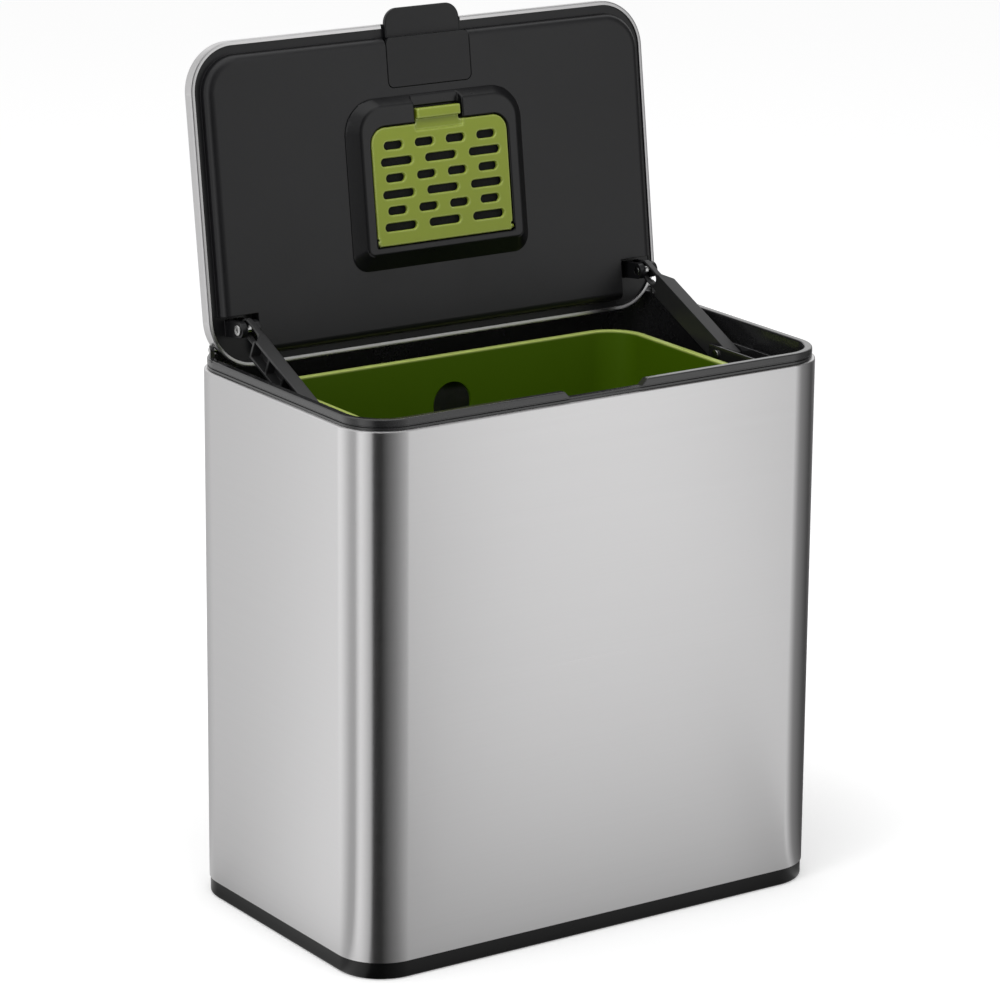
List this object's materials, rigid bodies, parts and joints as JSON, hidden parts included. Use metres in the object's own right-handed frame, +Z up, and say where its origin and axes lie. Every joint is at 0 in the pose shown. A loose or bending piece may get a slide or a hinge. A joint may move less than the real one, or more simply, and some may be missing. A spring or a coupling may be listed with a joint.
{
  "type": "countertop compost bin",
  "caption": "Rectangular countertop compost bin with a brushed steel body, a swing-up lid that holds a carbon filter behind a slotted green door, and a lift-out green bucket.",
  "frame": {"origin": "middle of the base's underside, on the worktop", "axes": "+Z up, the front with the finger tab's notch faces -Y, +X to the right seen from the front"},
  "size_m": [0.27, 0.1705, 0.4298],
  "materials": {
    "brushed_steel": "brushed",
    "black_plastic": "satin",
    "green_plastic": "semi-gloss",
    "rubber": "matte",
    "steel": "polished",
    "carbon": "matte"
  },
  "bodies": {
    "body": {"base_tray": "black_plastic", "anti_slip_pads": "rubber", "body_shell": "brushed_steel", "top_frame": "black_plastic", "left_arm_bracket": "black_plastic", "right_arm_bracket": "black_plastic", "bracket_screws": "steel", "left_arm_pin": "steel", "right_arm_pin": "steel", "left_hinge_pin": "steel", "right_hinge_pin": "steel"},
    "lid": {"lid_shell": "brushed_steel", "lid_liner": "black_plastic", "lid_handle": "black_plastic", "filter_housing": "black_plastic", "carbon_filter": "carbon", "left_lid_pin": "steel", "right_lid_pin": "steel"},
    "filter_door": {"filter_cover": "green_plastic"},
    "left_arm": {"left_arm": "black_plastic"},
    "right_arm": {"right_arm": "black_plastic"},
    "bucket": {"bucket": "green_plastic"}
  },
  "joints": [
    {"name": "lid_hinge", "type": "hinge", "parent": "body", "child": "lid", "pos_m": [0, 0.0655, 0.2769], "axis": [1, 0, 0], "range_deg": [0, 97.6]},
    {"name": "filter_door_hinge", "type": "hinge", "parent": "lid", "child": "filter_door", "pos_m": [0, 0.05879, 0.31926], "axis": [1, 0, 0], "range_deg": [0, 90]},
    {"name": "left_arm_hinge", "type": "hinge", "parent": "body", "child": "left_arm", "pos_m": [-0.119, -0.0145, 0.259], "axis": [1, 0, 0], "range_deg": [-21.32, 0]},
    {"name": "right_arm_hinge", "type": "hinge", "parent": "body", "child": "right_arm", "pos_m": [0.119, -0.0145, 0.259], "axis": [1, 0, 0], "range_deg": [-21.32, 0]},
    {"name": "bucket_lift", "type": "slide", "parent": "body", "child": "bucket", "axis": [0, 0, 1], "range_m": [0, 0.45]}
  ],
  "couplings": [
    {"joint": "left_arm_hinge", "follows": "lid_hinge", "ratio": -0.21843},
    {"joint": "right_arm_hinge", "follows": "lid_hinge", "ratio": -0.21843}
  ]
}
